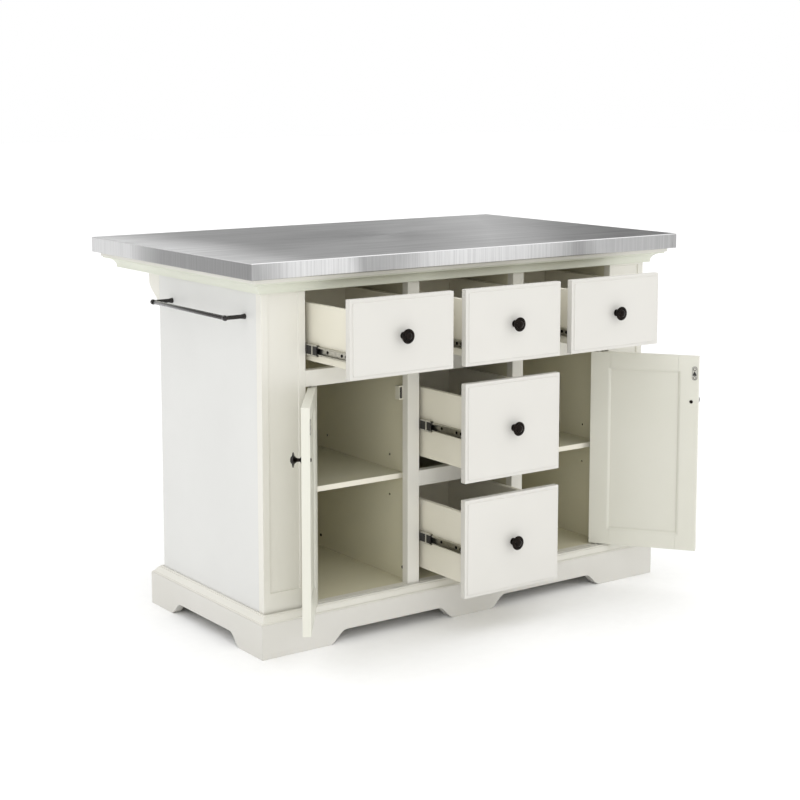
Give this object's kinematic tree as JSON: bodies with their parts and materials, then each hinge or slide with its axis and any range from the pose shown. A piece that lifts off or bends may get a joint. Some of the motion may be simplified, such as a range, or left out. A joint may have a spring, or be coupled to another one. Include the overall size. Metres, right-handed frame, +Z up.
{
  "type": "kitchen island",
  "caption": "Painted kitchen island with panelled doors, drawers on ball-bearing slides, a folded steel worktop with a seating overhang, and a towel bar.",
  "frame": {"origin": "on the floor, at the centre of the bottom face of the front plinth board's centre foot, which is midway along the unit and halfway through that board's thickness", "axes": "+X to the right along the length of the unit as seen from the front, +Y from the doors towards the seating side, +Z up"},
  "size_m": [1.288, 0.9465, 0.914],
  "materials": {
    "white_paint": "satin off-white paint over solid wood and board",
    "worktop_steel": "brushed stainless sheet with folded edges",
    "core_board": "raw particle board",
    "dark_bronze": "oil-rubbed dark bronze, satin",
    "zinc_steel": "zinc-plated rolled steel"
  },
  "bodies": {
    "cabinet": {"worktop_skin": "worktop_steel", "worktop_core": "core_board", "sub_top": "white_paint", "crown_long": "white_paint", "crown_ends": "white_paint", "overhang_frame": "white_paint", "corbels": "white_paint", "corner_posts": "white_paint", "frame_stiles": "white_paint", "frame_rails": "white_paint", "side_panels": "white_paint", "inner_sides": "white_paint", "dividers": "white_paint", "cabinet_floor": "white_paint", "back_panel": "white_paint", "shelves": "white_paint", "shelf_pins": "zinc_steel", "plinth_long": "white_paint", "plinth_ends": "white_paint", "towel_bar": "dark_bronze", "towel_posts": "dark_bronze", "slide_outers": "zinc_steel", "spacers": "white_paint", "pivot_pins": "zinc_steel", "catches": "white_paint", "panel_screws": "dark_bronze"},
    "drawer_top_left": {"drawer_top_left_front": "white_paint", "drawer_top_left_box": "white_paint", "drawer_top_left_runners": "zinc_steel", "drawer_top_left_knob": "dark_bronze"},
    "slide_top_left": {"drawer_top_left_slide_middles": "zinc_steel"},
    "drawer_top_centre": {"drawer_top_centre_front": "white_paint", "drawer_top_centre_box": "white_paint", "drawer_top_centre_runners": "zinc_steel", "drawer_top_centre_knob": "dark_bronze"},
    "slide_top_centre": {"drawer_top_centre_slide_middles": "zinc_steel"},
    "drawer_top_right": {"drawer_top_right_front": "white_paint", "drawer_top_right_box": "white_paint", "drawer_top_right_runners": "zinc_steel", "drawer_top_right_knob": "dark_bronze"},
    "slide_top_right": {"drawer_top_right_slide_middles": "zinc_steel"},
    "drawer_mid_centre": {"drawer_mid_centre_front": "white_paint", "drawer_mid_centre_box": "white_paint", "drawer_mid_centre_runners": "zinc_steel", "drawer_mid_centre_knob": "dark_bronze"},
    "slide_mid_centre": {"drawer_mid_centre_slide_middles": "zinc_steel"},
    "drawer_low_centre": {"drawer_low_centre_front": "white_paint", "drawer_low_centre_box": "white_paint", "drawer_low_centre_runners": "zinc_steel", "drawer_low_centre_knob": "dark_bronze"},
    "slide_low_centre": {"drawer_low_centre_slide_middles": "zinc_steel"},
    "door_left": {"door_left_frame": "white_paint", "door_left_panel": "white_paint", "door_left_fittings": "zinc_steel", "door_left_knob": "dark_bronze"},
    "door_right": {"door_right_frame": "white_paint", "door_right_panel": "white_paint", "door_right_fittings": "zinc_steel", "door_right_knob": "dark_bronze"}
  },
  "joints": [
    {"name": "drawer_top_left_pull", "type": "slide", "parent": "cabinet", "child": "drawer_top_left", "axis": [0, -1, 0], "range_m": [-0.183, 0.217]},
    {"name": "slide_top_left_travel", "type": "slide", "parent": "cabinet", "child": "slide_top_left", "axis": [0, -1, 0], "range_m": [-0.0915, 0.1085]},
    {"name": "drawer_top_centre_pull", "type": "slide", "parent": "cabinet", "child": "drawer_top_centre", "axis": [0, -1, 0], "range_m": [-0.183, 0.217]},
    {"name": "slide_top_centre_travel", "type": "slide", "parent": "cabinet", "child": "slide_top_centre", "axis": [0, -1, 0], "range_m": [-0.0915, 0.1085]},
    {"name": "drawer_top_right_pull", "type": "slide", "parent": "cabinet", "child": "drawer_top_right", "axis": [0, -1, 0], "range_m": [-0.183, 0.217]},
    {"name": "slide_top_right_travel", "type": "slide", "parent": "cabinet", "child": "slide_top_right", "axis": [0, -1, 0], "range_m": [-0.0915, 0.1085]},
    {"name": "drawer_mid_centre_pull", "type": "slide", "parent": "cabinet", "child": "drawer_mid_centre", "axis": [0, -1, 0], "range_m": [-0.183, 0.217]},
    {"name": "slide_mid_centre_travel", "type": "slide", "parent": "cabinet", "child": "slide_mid_centre", "axis": [0, -1, 0], "range_m": [-0.0915, 0.1085]},
    {"name": "drawer_low_centre_pull", "type": "slide", "parent": "cabinet", "child": "drawer_low_centre", "axis": [0, -1, 0], "range_m": [-0.183, 0.217]},
    {"name": "slide_low_centre_travel", "type": "slide", "parent": "cabinet", "child": "slide_low_centre", "axis": [0, -1, 0], "range_m": [-0.0915, 0.1085]},
    {"name": "door_left_hinge", "type": "hinge", "parent": "cabinet", "child": "door_left", "pos_m": [-0.44296, 0.0235, 0.356], "axis": [0, 0, -1], "range_deg": [-126, 3]},
    {"name": "door_right_hinge", "type": "hinge", "parent": "cabinet", "child": "door_right", "pos_m": [0.44296, 0.0235, 0.356], "axis": [0, 0, 1], "range_deg": [-127, 2]}
  ],
  "couplings": [
    {"joint": "slide_top_left_travel", "follows": "drawer_top_left_pull", "ratio": 0.5},
    {"joint": "slide_top_centre_travel", "follows": "drawer_top_centre_pull", "ratio": 0.5},
    {"joint": "slide_top_right_travel", "follows": "drawer_top_right_pull", "ratio": 0.5},
    {"joint": "slide_mid_centre_travel", "follows": "drawer_mid_centre_pull", "ratio": 0.5},
    {"joint": "slide_low_centre_travel", "follows": "drawer_low_centre_pull", "ratio": 0.5}
  ]
}
